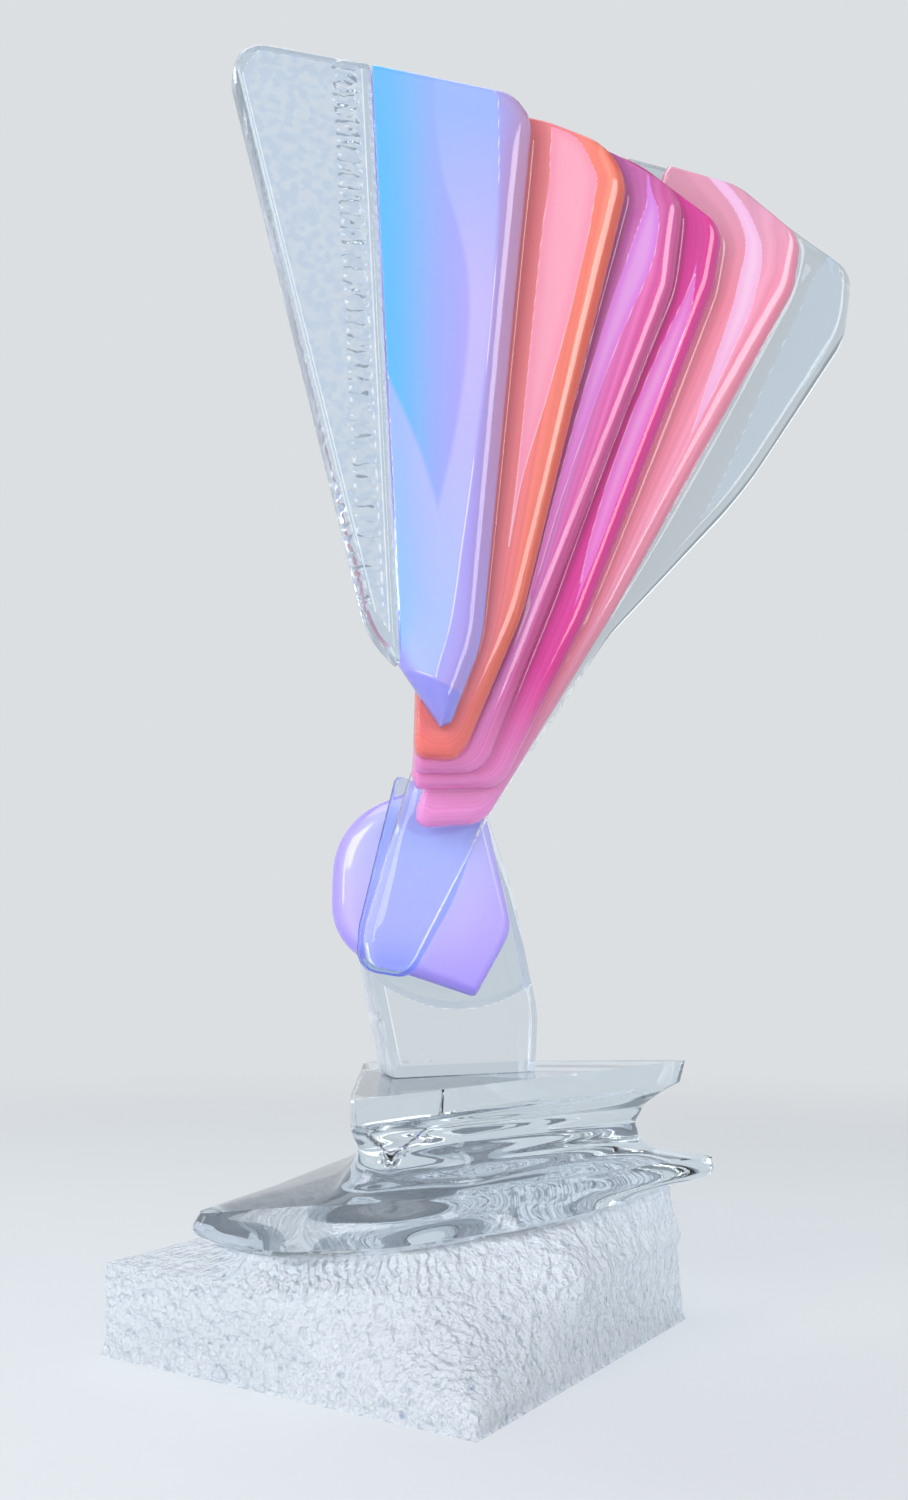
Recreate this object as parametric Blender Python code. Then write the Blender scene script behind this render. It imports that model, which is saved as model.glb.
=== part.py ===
# Acrylic fan sculpture: dyed and clear cast acrylic blades, each one step deeper than the
# blade on its left, cemented face to face, carried by a disc and a post on a carved block.
# Metres, +Z up. The origin is the middle of the block's underside, the blades' broad faces
# look along -Y, and the square block stands on its corner in plan (corners on X and Y).

import math

import bmesh
import bpy
import numpy as np
from mathutils import Vector

# Cement line between two bonded faces
CEMENT = 0.0003

# Thickness of each sheet in the stack, from the front one to the post
WING_THICKNESS = 0.0127
BLUE_THICKNESS = 0.0100
CORAL_THICKNESS = 0.0080
ROSE_THICKNESS = 0.0080
MAGENTA_THICKNESS = 0.0080
PINK_THICKNESS = 0.0080
REAR_THICKNESS = 0.0100
TONGUE_THICKNESS = 0.0040
DISC_THICKNESS = 0.0160
POST_THICKNESS = 0.0320

# The clear wing stands this much proud of the blue blade that it is edge-bonded to
WING_PROUD = 0.0030

# The seam between the wing and the blue blade leans: its X at the top and at the bottom
SEAM_TOP_X = -0.0360
SEAM_FOOT_X = -0.0205

# Depth of the square edge that is left behind each carved shoulder, deeper at the wing's seam
EDGE_LAND = 0.0015
WING_LAND = 0.0060

# Share of the disc's thickness that is rounded at its back
DISC_BACK_SHARE = 0.3

# Height of the block's flat top at its axis, how much the top rises per metre of X, and half
# the block's diagonal
PLATFORM_HEIGHT = 0.1140
PLATFORM_RISE = 0.0280
BLOCK_CORNER = 0.1340

# The foot of the post: its X at the left and at the right
POST_LEFT_X = -0.0105
POST_RIGHT_X = 0.0585

# Points on each rounded corner, rings on each carved shoulder, rays round the block and
# levels between two of the block's sections
CORNER_STEPS = 5
SHOULDER_STEPS = 4
BLOCK_RAYS = 60
BLOCK_LEVELS = 2

# Corner rules: the smallest rounding, the most of a side that one arc may take, the share of
# a side that an almost straight corner's points spread over, half the corner angle from
# which a corner counts as straight, and the sine of the turn below which a corner moves
# along the mean of its sides
LEAST_RADIUS = 0.0008
ARC_REACH = 0.48
STRAIGHT_SPREAD = 0.02
STRAIGHT_HALF = math.radians(89.5)
SHALLOW_TURN = 0.35

# Edges sharper than this are shaded as edges
SHEET_CREASE = math.radians(40)
BLOCK_CREASE = math.radians(35)

# Polished acrylic
ACRYLIC_ROUGHNESS = 0.06
ACRYLIC_IOR = 1.49

# Room for rounding errors where a ray meets the end of a side
TINY = 1e-9

# Outlines of the sheets as seen from the front: (x, height above the platform, corner
# radius, width of the carved shoulder on the side that runs on to the next corner),
# clockwise from the top left.
WING_OUTLINE = (
    (-0.1010, 0.4475, 0.014, 0.003),
    (SEAM_TOP_X - CEMENT / 2, 0.4450, 0.001, 0.005),
    (SEAM_FOOT_X - CEMENT / 2, 0.1725, 0.001, 0.003),
    (-0.0340, 0.1860, 0.060, 0.003),
)
BLUE_OUTLINE = (
    (SEAM_TOP_X + CEMENT / 2, 0.4475, 0.001, 0.003),
    (0.0410, 0.4425, 0.014, 0.015),
    (0.0155, 0.1860, 0.080, 0.010),
    (-0.0010, 0.1425, 0.005, 0.009),
    (SEAM_FOOT_X + CEMENT / 2, 0.1745, 0.001, 0.000),
)
CORAL_OUTLINE = (
    (-0.0040, 0.4430, 0.003, 0.003),
    (0.0460, 0.4400, 0.060, 0.004),
    (0.0930, 0.4280, 0.026, 0.013),
    (0.0360, 0.2020, 0.120, 0.011),
    (0.0080, 0.1360, 0.009, 0.008),
    (-0.0125, 0.1370, 0.005, 0.001),
)
ROSE_OUTLINE = (
    (0.0040, 0.4430, 0.003, 0.002),
    (0.0840, 0.4350, 0.060, 0.004),
    (0.1210, 0.4160, 0.016, 0.010),
    (0.1140, 0.3680, 0.060, 0.012),
    (0.0500, 0.2070, 0.100, 0.010),
    (0.0200, 0.1325, 0.014, 0.006),
    (-0.0112, 0.1310, 0.005, 0.001),
)
MAGENTA_OUTLINE = (
    (0.0120, 0.4430, 0.003, 0.002),
    (0.0980, 0.4380, 0.050, 0.004),
    (0.1450, 0.4070, 0.014, 0.010),
    (0.1390, 0.3760, 0.050, 0.011),
    (0.0700, 0.2050, 0.100, 0.009),
    (0.0300, 0.1270, 0.014, 0.006),
    (-0.0105, 0.1255, 0.005, 0.001),
)
PINK_OUTLINE = (
    (0.1190, 0.4430, 0.002, 0.003),
    (0.1580, 0.4365, 0.030, 0.005),
    (0.1910, 0.4130, 0.012, 0.010),
    (0.1860, 0.3850, 0.040, 0.013),
    (0.0880, 0.2140, 0.150, 0.009),
    (0.0240, 0.1120, 0.014, 0.006),
    (-0.0100, 0.1090, 0.006, 0.002),
)
REAR_OUTLINE = (
    (0.0980, 0.4500, 0.006, 0.002),
    (0.1630, 0.4400, 0.060, 0.005),
    (0.2240, 0.4020, 0.014, 0.008),
    (0.2175, 0.3650, 0.050, 0.010),
    (0.1580, 0.2780, 0.300, 0.007),
    (0.0860, 0.2010, 0.060, 0.005),
    (0.0280, 0.1150, 0.080, 0.005),
    (-0.0080, 0.0460, 0.008, 0.007),
    (-0.0280, 0.0500, 0.009, 0.009),
    (-0.0270, 0.0660, 0.030, 0.008),
    (-0.0090, 0.1290, 0.050, 0.001),
)
TONGUE_OUTLINE = (
    (-0.0130, 0.1345, 0.002, 0.001),
    (0.0300, 0.1220, 0.002, 0.001),
    (0.0130, 0.0770, 0.080, 0.001),
    (-0.0060, 0.0440, 0.009, 0.001),
    (-0.0300, 0.0480, 0.010, 0.001),
    (-0.0290, 0.0670, 0.030, 0.001),
)
DISC_OUTLINE = (
    (0.0050, 0.1330, 0.025, 0.008),
    (0.0310, 0.1200, 0.012, 0.006),
    (0.0435, 0.0660, 0.018, 0.006),
    (0.0260, 0.0355, 0.002, 0.007),
    (-0.0400, 0.0570, 0.028, 0.009),
    (-0.0390, 0.1140, 0.042, 0.009),
)
POST_OUTLINE = (
    (0.0120, 0.1230, 0.006, 0.002),
    (0.0350, 0.1230, 0.008, 0.002),
    (0.0480, 0.0850, 0.080, 0.002),
    (0.0600, 0.0280, 0.060, 0.002),
    (POST_RIGHT_X, PLATFORM_RISE * POST_RIGHT_X, 0.001, 0.000),
    (POST_LEFT_X, PLATFORM_RISE * POST_LEFT_X, 0.001, 0.002),
    (-0.0200, 0.0420, 0.040, 0.002),
    (-0.0240, 0.0620, 0.020, 0.002),
)

# The carved block, as plan outlines at rising heights. Each is (height as a share of
# PLATFORM_HEIGHT, rise per metre of X, bow, crisp, corners), a corner is (x, y, radius) as
# shares of BLOCK_CORNER. The bow is how far the section drops at one metre to either side,
# growing with the square of X. A crisp section is an edge, the others blend into their
# neighbours. The front corner is at -Y, and the long beak points right, along +X.
BLOCK_SECTIONS = (
    # underside, a square on its corner
    (0.00, 0.00, 0.00, True, (
        (-1.000, 0.000, 0.007), (0.000, -1.000, 0.007), (1.000, 0.000, 0.007),
        (0.000, 1.000, 0.007),
    )),
    # chipped foot
    (0.08, 0.00, 0.00, False, (
        (-0.989, 0.000, 0.015), (0.000, -0.963, 0.045), (0.993, 0.000, 0.015),
        (0.000, 0.993, 0.015),
    )),
    # front corner carved away
    (0.21, 0.04, 0.00, False, (
        (-0.998, 0.000, 0.010), (-0.448, -0.522, 0.149), (0.000, -0.731, 0.187),
        (0.448, -0.537, 0.112), (0.989, 0.000, 0.022), (0.000, 0.978, 0.030),
    )),
    # rim of the lower shelf
    (0.33, 0.00, 0.00, True, (
        (-1.003, 0.000, 0.010), (-0.515, -0.463, 0.149), (0.000, -0.597, 0.299),
        (0.448, -0.537, 0.090), (1.000, 0.000, 0.022), (0.000, 0.948, 0.075),
    )),
    # hollow above the shelf
    (0.39, 0.01, 0.00, False, (
        (-0.687, 0.075, 0.112), (-0.560, -0.373, 0.149), (0.000, -0.567, 0.299),
        (0.418, -0.507, 0.112), (0.992, 0.015, 0.030), (0.000, 0.806, 0.149),
        (-0.522, 0.410, 0.149),
    )),
    # crease under the upper lip
    (0.46, 0.06, 0.00, True, (
        (-0.672, -0.149, 0.075), (-0.463, -0.448, 0.149), (-0.149, -0.537, 0.224),
        (0.261, -0.463, 0.224), (0.522, -0.343, 0.149), (0.978, 0.032, 0.030),
        (0.000, 0.660, 0.149), (-0.440, 0.220, 0.149),
    )),
    # upper lip, lower and upper rim
    (0.55, 0.045, 0.25, False, (
        (-0.748, -0.305, 0.040), (-0.075, -0.570, 0.299), (0.600, -0.300, 0.299),
        (1.157, 0.065, 0.030), (0.485, 0.430, 0.224), (-0.075, 0.590, 0.149),
        (-0.470, 0.030, 0.149),
    )),
    (0.62, 0.045, 0.25, True, (
        (-0.742, -0.320, 0.040), (0.000, -0.520, 0.373), (0.600, -0.250, 0.299),
        (1.165, 0.065, 0.022), (0.485, 0.400, 0.224), (-0.075, 0.550, 0.149),
        (-0.450, 0.000, 0.149),
    )),
    # waist
    (0.665, 0.03, 0.10, False, (
        (-0.300, -0.440, 0.090), (0.112, -0.460, 0.224), (0.955, 0.054, 0.060),
        (0.448, 0.380, 0.224), (-0.060, 0.500, 0.112), (-0.200, 0.050, 0.224),
    )),
    (0.77, 0.00, 0.00, False, (
        (-0.250, -0.478, 0.075), (0.112, -0.418, 0.224), (0.885, 0.050, 0.045),
        (0.410, 0.350, 0.224), (-0.052, 0.500, 0.090), (-0.160, 0.050, 0.224),
    )),
    (0.86, 0.00, 0.00, False, (
        (-0.284, -0.582, 0.045), (0.149, -0.381, 0.299), (0.925, 0.052, 0.037),
        (0.410, 0.358, 0.224), (-0.052, 0.597, 0.060), (-0.194, 0.075, 0.224),
    )),
    # three-cornered platform, lower and upper rim
    (0.91, PLATFORM_RISE, 0.00, True, (
        (-0.299, -0.679, 0.022), (1.043, 0.059, 0.022), (-0.052, 0.649, 0.030),
    )),
    (1.00, PLATFORM_RISE, 0.00, True, (
        (-0.306, -0.701, 0.015), (1.058, 0.060, 0.015), (-0.052, 0.672, 0.022),
    )),
)


def unit(vector):
    return vector / math.hypot(*vector)


def shrunk(outline, share):
    # The same corners, each side moved inwards by its share of its own shoulder width.
    count = len(outline)
    points = [np.array(corner[:2], float) for corner in outline]
    sides = [unit(points[(i + 1) % count] - points[i]) for i in range(count)]
    inward = [np.array((side[1], -side[0])) for side in sides]
    result = []
    for i, corner in enumerate(outline):
        before, after = inward[i - 1], inward[i]
        width_before, width_after = share * outline[i - 1][3], share * corner[3]
        turn = before[0] * after[1] - before[1] * after[0]
        mean_width = (width_before + width_after) / 2
        if abs(turn) > SHALLOW_TURN:
            move = np.linalg.solve(np.array((before, after)), (width_before, width_after))
        else:
            move = unit(before + after) * mean_width
        bend = mean_width if turn < 0 else -mean_width
        x, z = points[i] + move
        result.append((x, z, max(corner[2] - bend, LEAST_RADIUS)))
    return result


def rounded(corners, steps):
    # A closed run of points that turns each corner on an arc of its radius.
    count = len(corners)
    points = [np.array(corner[:2], float) for corner in corners]
    run = []
    for i, corner in enumerate(corners):
        here = points[i]
        back, ahead = points[i - 1] - here, points[(i + 1) % count] - here
        shorter = min(math.hypot(*back), math.hypot(*ahead))
        back, ahead = unit(back), unit(ahead)
        half = math.acos(max(-1.0, min(1.0, float(back @ ahead)))) / 2
        if half > STRAIGHT_HALF:
            spread = (ahead - back) * STRAIGHT_SPREAD * shorter
            run += [here + spread * (step / steps - 0.5) for step in range(steps + 1)]
            continue
        tangent = min(corner[2] / math.tan(half), ARC_REACH * shorter)
        radius = tangent * math.tan(half)
        centre = here + unit(back + ahead) * radius / math.sin(half)
        start, end = here + back * tangent - centre, here + ahead * tangent - centre
        sweep = math.pi - 2 * half
        for step in range(steps + 1):
            part = sweep * step / steps
            swung = start * math.sin(sweep - part) + end * math.sin(part)
            run.append(centre + swung / math.sin(sweep))
    return run


def add_object(name, rings, material, crease, place=(0.0, 0.0, 0.0)):
    # A loft through rings of as many points each, closed with a flat face at both ends.
    mesh = bpy.data.meshes.new(name)
    shape = bmesh.new()
    loops = [[shape.verts.new(point) for point in ring] for ring in rings]
    for lower, upper in zip(loops, loops[1:]):
        for i, vertex in enumerate(lower):
            after = (i + 1) % len(lower)
            shape.faces.new((vertex, lower[after], upper[after], upper[i]))
    shape.faces.new(loops[0])
    shape.faces.new(loops[-1])
    bmesh.ops.recalc_face_normals(shape, faces=shape.faces)
    shape.to_mesh(mesh)
    shape.free()
    mesh.shade_smooth()
    mesh.set_sharp_from_angle(angle=crease)
    mesh.materials.append(material)
    piece = bpy.data.objects.new(name, mesh)
    piece.location = place
    sculpture.objects.link(piece)


def acrylic(name, colour, clear=0.0):
    # Cast acrylic, flame-polished: dyed sheets let little light through, clear ones nearly all.
    material = bpy.data.materials.new(name)
    material.use_nodes = True
    shader = material.node_tree.nodes["Principled BSDF"]
    shader.inputs["Base Color"].default_value = (*colour, 1.0)
    shader.inputs["Metallic"].default_value = 0.0
    shader.inputs["Roughness"].default_value = ACRYLIC_ROUGHNESS
    shader.inputs["IOR"].default_value = ACRYLIC_IOR
    shader.inputs["Transmission Weight"].default_value = clear
    material.diffuse_color = (*colour, 1.0)
    return material


def add_sheet(name, outline, front, thickness, material, land=EDGE_LAND, back_share=0.0):
    # A sheet whose front edge is carved round; back_share rounds its back edge as well. Its
    # own origin lies on its front face, level with the platform.
    back_depth = (thickness - land) * back_share
    front_depth = thickness - land - back_depth
    rings = []
    for step in range(SHOULDER_STEPS if back_share else 1):
        angle = math.pi / 2 * step / SHOULDER_STEPS
        ring = rounded(shrunk(outline, back_share * (1 - math.sin(angle))), CORNER_STEPS)
        y = thickness - back_depth * (1 - math.cos(angle))
        rings.append([Vector((x, y, z)) for x, z in ring])
    for step in range(SHOULDER_STEPS + 1):
        angle = math.pi / 2 * step / SHOULDER_STEPS
        ring = rounded(shrunk(outline, 1 - math.cos(angle)), CORNER_STEPS)
        y = front_depth * (1 - math.sin(angle))
        rings.append([Vector((x, y, z)) for x, z in ring])
    add_object(name, rings, material, SHEET_CREASE, place=(0.0, front, PLATFORM_HEIGHT + CEMENT))


def ray_angles():
    # Directions round the block: one to each corner of its crisp edges, even steps between.
    turn = 2 * math.pi
    spacing = turn / BLOCK_RAYS
    corners = []
    for _height, _rise, _bow, crisp, outline in BLOCK_SECTIONS:
        if crisp:
            corners += [math.atan2(y, x) % turn for x, y, _radius in outline]
    marks = []
    for angle in sorted(corners):
        if not marks or angle - marks[-1] > spacing / 3:
            marks.append(angle)
    angles = []
    for start, end in zip(marks, marks[1:] + [marks[0] + turn]):
        parts = max(1, round((end - start) / spacing))
        angles += [start + (end - start) * i / parts for i in range(parts)]
    return angles


def reach(run, angle):
    # How far the closed run lies from the block's axis in this direction.
    direction = np.array((math.cos(angle), math.sin(angle)))
    farthest = 0.0
    for start, end in zip(run, run[1:] + run[:1]):
        side = end - start
        turn = direction[0] * side[1] - direction[1] * side[0]
        if abs(turn) < TINY**2:
            continue
        along = (start[0] * side[1] - start[1] * side[0]) / turn
        share = (start[0] * direction[1] - start[1] * direction[0]) / turn
        if -TINY <= share <= 1 + TINY:
            farthest = max(farthest, along)
    return farthest


def block_rings():
    # Rings up the block: a smooth curve through its sections that stops at each crisp one.
    angles = ray_angles()
    knots = []
    for height, rise, bow, _crisp, corners in BLOCK_SECTIONS:
        run = rounded(np.array(corners) * BLOCK_CORNER, CORNER_STEPS)
        ring = []
        for angle in angles:
            far = reach(run, angle)
            x, y = far * math.cos(angle), far * math.sin(angle)
            ring.append((x, y, height * PLATFORM_HEIGHT + rise * x - bow * x**2))
        knots.append(np.array(ring))
    crisp = [section[3] for section in BLOCK_SECTIONS]
    rings = []
    for i in range(len(knots) - 1):
        start, end = knots[i], knots[i + 1]
        leave = end - start if crisp[i] else (end - knots[i - 1]) / 2
        arrive = end - start if crisp[i + 1] else (knots[i + 2] - start) / 2
        for level in range(BLOCK_LEVELS):
            t = level / BLOCK_LEVELS
            rings.append(
                (2 * t**3 - 3 * t**2 + 1) * start
                + (t**3 - 2 * t**2 + t) * leave
                + (3 * t**2 - 2 * t**3) * end
                + (t**3 - t**2) * arrive
            )
    rings.append(knots[-1])
    return [[Vector(point) for point in ring] for ring in rings]


for old in list(bpy.data.objects):
    bpy.data.objects.remove(old, do_unlink=True)

sculpture = bpy.data.collections.new("acrylic_fan_sculpture")
bpy.context.scene.collection.children.link(sculpture)

clear_acrylic = acrylic("clear_acrylic", (0.86, 0.92, 0.97), clear=0.95)
rough_acrylic = acrylic("carved_clear_acrylic", (0.80, 0.87, 0.92), clear=0.85)
blue_acrylic = acrylic("blue_acrylic", (0.28, 0.50, 0.98))
coral_acrylic = acrylic("coral_acrylic", (0.93, 0.26, 0.22))
rose_acrylic = acrylic("rose_acrylic", (0.72, 0.20, 0.55))
magenta_acrylic = acrylic("magenta_acrylic", (0.70, 0.06, 0.34))
pink_acrylic = acrylic("pink_acrylic", (0.86, 0.30, 0.45))
tongue_acrylic = acrylic("pale_blue_acrylic", (0.24, 0.38, 0.95))
lavender_acrylic = acrylic("lavender_acrylic", (0.45, 0.36, 0.93))

# Front face of each sheet, counted forwards from the post
post_front = -POST_THICKNESS / 2
disc_front = post_front - CEMENT - DISC_THICKNESS
tongue_front = disc_front - CEMENT - TONGUE_THICKNESS
rear_front = tongue_front - CEMENT - REAR_THICKNESS
pink_front = rear_front - CEMENT - PINK_THICKNESS
magenta_front = pink_front - CEMENT - MAGENTA_THICKNESS
rose_front = magenta_front - CEMENT - ROSE_THICKNESS
coral_front = rose_front - CEMENT - CORAL_THICKNESS
blue_front = coral_front - CEMENT - BLUE_THICKNESS
wing_front = blue_front - WING_PROUD

add_object("base_block", block_rings(), rough_acrylic, BLOCK_CREASE)
add_sheet("clear_post", POST_OUTLINE, post_front, POST_THICKNESS, clear_acrylic)
add_sheet(
    "lavender_disc", DISC_OUTLINE, disc_front, DISC_THICKNESS, lavender_acrylic, back_share=DISC_BACK_SHARE
)
add_sheet("blue_tongue", TONGUE_OUTLINE, tongue_front, TONGUE_THICKNESS, tongue_acrylic)
add_sheet("clear_rear_blade", REAR_OUTLINE, rear_front, REAR_THICKNESS, clear_acrylic)
add_sheet("pink_blade", PINK_OUTLINE, pink_front, PINK_THICKNESS, pink_acrylic)
add_sheet("magenta_blade", MAGENTA_OUTLINE, magenta_front, MAGENTA_THICKNESS, magenta_acrylic)
add_sheet("rose_blade", ROSE_OUTLINE, rose_front, ROSE_THICKNESS, rose_acrylic)
add_sheet("coral_blade", CORAL_OUTLINE, coral_front, CORAL_THICKNESS, coral_acrylic)
add_sheet("blue_blade", BLUE_OUTLINE, blue_front, BLUE_THICKNESS, blue_acrylic)
add_sheet("clear_left_wing", WING_OUTLINE, wing_front, WING_THICKNESS, clear_acrylic, land=WING_LAND)
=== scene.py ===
# Acrylic fan sculpture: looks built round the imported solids.
# The coloured blades, the clear pieces and the carved block are remade finer over their own
# solids, so each keeps the outline and the place that it has there.

import math

import bmesh
import bpy
import numpy as np
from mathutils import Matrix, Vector, noise


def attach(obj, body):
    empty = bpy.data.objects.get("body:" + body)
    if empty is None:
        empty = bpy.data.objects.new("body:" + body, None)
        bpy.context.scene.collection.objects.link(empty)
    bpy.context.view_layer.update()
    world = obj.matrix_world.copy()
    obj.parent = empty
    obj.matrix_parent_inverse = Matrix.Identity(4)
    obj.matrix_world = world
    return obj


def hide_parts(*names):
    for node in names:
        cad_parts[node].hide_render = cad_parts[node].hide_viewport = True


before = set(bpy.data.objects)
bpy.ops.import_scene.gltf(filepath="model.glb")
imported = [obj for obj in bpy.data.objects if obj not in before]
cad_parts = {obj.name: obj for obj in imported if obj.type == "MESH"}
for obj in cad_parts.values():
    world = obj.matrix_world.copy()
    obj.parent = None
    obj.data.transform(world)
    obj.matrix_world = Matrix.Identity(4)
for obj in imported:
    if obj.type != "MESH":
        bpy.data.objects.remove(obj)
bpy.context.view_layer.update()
print("frame loaded")

platform = 0.1143  # height that the sheets' corner heights below count from
sameLevel = 1e-5  # metres; two levels closer than this are one
hair = 1e-4  # metres; keeps a share finite where two outlines meet
millimetres = 1000  # the shaders read the distances on a sheet's front in these
refraction = 1.49  # of cast acrylic
soft = {"interpolation_type": "SMOOTHSTEP"}
colourMix = {"out": 2, "data_type": "RGBA"}


# colour and node helpers

def linear(hexColour, alpha=1.0):
    # sRGB hex to the linear colour that the shaders take
    channels = [int(hexColour[i:i + 2], 16) / 255 for i in (1, 3, 5)]
    return (*[c / 12.92 if c <= 0.04045 else ((c + 0.055) / 1.055) ** 2.4 for c in channels], alpha)


def even(colour):
    # colour stops that give one colour all the way
    return [(0.0, colour), (1.0, colour)]


def setInputs(tree, node, inputs):
    # each input gets its value, or a link from another node's output
    for name, value in inputs.items() if isinstance(inputs, dict) else enumerate(inputs):
        if isinstance(value, bpy.types.NodeSocket):
            tree.links.new(value, node.inputs[name])
        else:
            node.inputs[name].default_value = linear(value) if isinstance(value, str) else value


def addNode(tree, kind, inputs=(), stops=None, out=0, **settings):
    # one node with its settings, inputs and colour stops; gives the output in use
    made = tree.nodes.new("ShaderNode" + kind)
    for name, value in settings.items():
        setattr(made, name, value)
    setInputs(tree, made, inputs)
    if stops:
        elements = made.color_ramp.elements
        while len(elements) < len(stops):
            elements.new(0.5)
        for element, (place, colour) in zip(elements, stops):
            element.position = place
            element.color = linear(colour)
    return made.outputs[out]


def newMaterial(name):
    made = bpy.data.materials.new(name)
    made.use_nodes = True
    tree = made.node_tree
    return made, tree, tree.nodes["Principled BSDF"]


# shapes into objects

def closeShape(shape):
    # the open border filled, and every face turned outwards
    bmesh.ops.holes_fill(shape, edges=[edge for edge in shape.edges if edge.is_boundary], sides=0)
    bmesh.ops.recalc_face_normals(shape, faces=shape.faces)


def addObject(shape, name):
    mesh = bpy.data.meshes.new(name)
    shape.to_mesh(mesh)
    shape.free()
    made = bpy.data.objects.new(name, mesh)
    bpy.context.scene.collection.objects.link(made)
    return made


def addPiece(shape, name, nodeName, crispAngle):
    # the piece that stands for a solid, smooth but for the edges that turn more than the angle
    made = addObject(shape, name)
    made.data.shade_smooth()
    made.data.set_sharp_from_angle(angle=math.radians(crispAngle))
    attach(made, "root")
    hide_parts(nodeName)
    return made


def dress(piece, material):
    piece.data.materials.append(material)


# outlines read from the solids

def levelRings(nodeName):
    # every closed outline of a sheet's solid, from its front to its back: (y, points (x, z))
    mesh = bmesh.new()
    mesh.from_mesh(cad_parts[nodeName].data)
    bmesh.ops.remove_doubles(mesh, verts=mesh.verts, dist=1e-6)
    levels = {}
    for edge in mesh.edges:
        start, end = (round(vert.co.y, 5) for vert in edge.verts)
        if start != end:
            continue
        # an edge between two faces that both lie in its level is no outline
        inPlane = sum(
            all(abs(vert.co.y - start) < 2 * sameLevel for vert in face.verts)
            for face in edge.link_faces
        )
        if inPlane < 2:
            levels.setdefault(start, []).append(edge)
    rings = []
    for level in sorted(levels):
        neighbours = {}
        for edge in levels[level]:
            for vert in edge.verts:
                neighbours.setdefault(vert, []).append(edge.other_vert(vert))
        walk = [next(iter(neighbours))]
        while len(walk) < len(neighbours):
            ahead = [vert for vert in neighbours[walk[-1]] if len(walk) < 2 or vert != walk[-2]]
            walk.append(ahead[0])
        points = np.array([(vert.co.x, vert.co.z) for vert in walk])
        turned = np.roll(points, -1, axis=0)
        if (points[:, 0] * turned[:, 1] - turned[:, 0] * points[:, 1]).sum() > 0:
            points = points[::-1]
        rings.append((level, points))
    mesh.free()
    return rings


def span(points):
    # width and height of an outline together
    return np.ptp(points[:, 0]) + np.ptp(points[:, 1])


def outerRing(nodeName):
    return max(levelRings(nodeName), key=lambda level: span(level[1]))[1]


def matched(ring, guide):
    # the ring turned so that its points run beside the guide's; where a tight corner has
    # come to one point on it, that point counts twice
    best = math.inf
    for start in range(len(ring)):
        turned = np.roll(ring, -start, axis=0)
        gap = ((guide[:, None] - turned[None]) ** 2).sum(2)
        cost = np.full(len(ring), np.inf)
        cost[0] = gap[0, 0]
        stays = []
        for i in range(1, len(guide)):
            stepped = np.concatenate(([np.inf], cost[:-1]))
            stays.append(cost < stepped)
            cost = np.minimum(cost, stepped) + gap[i]
        if cost[-1] < best:
            best = cost[-1]
            places = [len(ring) - 1]
            for staying in reversed(stays):
                places.append(places[-1] - (not staying[places[-1]]))
            found = turned[places[::-1]]
    return found


def bend(t, start, leave, end, arrive):
    # a smooth way from start to end, with the given slopes at its ends
    return (
        (2 * t**3 - 3 * t**2 + 1) * start + (t**3 - 2 * t**2 + t) * leave
        + (3 * t**2 - 2 * t**3) * end + (t**3 - t**2) * arrive
    )


def along(ring, places):
    # points on the smooth closed curve through a ring, at fractional point numbers
    step = np.roll(ring, -1, axis=0) - ring
    length = np.hypot(step[:, 0], step[:, 1])[:, None]
    weighted = step * length
    tangent = weighted + np.roll(weighted, 1, axis=0)
    tangent /= np.maximum(np.hypot(tangent[:, 0], tangent[:, 1]), 1e-12)[:, None]
    places = np.asarray(places) % len(ring)
    i = places.astype(int) % len(ring)
    j = (i + 1) % len(ring)
    t = (places - places.astype(int))[:, None]
    return bend(t, ring[i], tangent[i] * length[i], ring[j], tangent[j] * length[i])


def stretch(ring, start, end, finer):
    # fractional point numbers from one point of a ring on to another, so many to each point
    end += len(ring) if end <= start else 0
    return np.linspace(start, end, (end - start) * finer + 1)


def sidePlaces(ring, start, end, count):
    # evenly spaced fractional point numbers on the side from one corner to the next
    fine = stretch(ring, start, end, 8)
    points = along(ring, fine)
    run = np.concatenate(([0.0], np.cumsum(np.hypot(*np.diff(points, axis=0).T))))
    return np.interp(np.linspace(0.0, run[-1], count), run, fine)


def runDistance(points, run):
    # distance of each point from an open run of points
    start, side = run[:-1], np.diff(run, axis=0)
    gap = points[:, None, :] - start[None]
    share = np.clip((gap * side).sum(2) / np.maximum((side**2).sum(1), 1e-14), 0, 1)
    return np.hypot(*np.moveaxis(gap - share[..., None] * side, 2, 0)).min(1)


def outsideDistance(points, ring):
    # distance of each point outside a closed outline, 0 inside it
    run = along(ring, stretch(ring, 0, len(ring), 4))
    start, end = run[:-1], run[1:]
    crosses = (start[:, 1] > points[:, None, 1]) != (end[:, 1] > points[:, None, 1])
    rise = end[:, 1] - start[:, 1]
    slope = (end[:, 0] - start[:, 0]) / np.where(np.abs(rise) < 1e-12, 1e-12, rise)
    before = points[:, None, 0] < start[:, 0] + (points[:, None, 1] - start[:, 1]) * slope
    inside = (crosses & before).sum(1) % 2 == 1
    return np.where(inside, 0, runDistance(points, run))


# how the front of a sheet is carved: each gives the depth taken off, how far inside its
# polished facet a point lies, where a painted reflection lightens it, and how far it is from the facet's
# border, where a painted highlight line is drawn

carving = {
    "averaged": 0.010,  # half the height over which a table is averaged
    "leastShare": 0.02,  # of a blade's width, for a flute or a slope
    "skew": 1.8, "skewed": 0.75,  # this share of a flute is deepest near the sheet in front
    "narrow": 0.012,  # a flute narrower than this gets shallower
    "fall": 1.3,  # power by which a slope falls away to the blade's edge
    "domeFall": 1.6,  # and a lens to its edge
}


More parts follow.
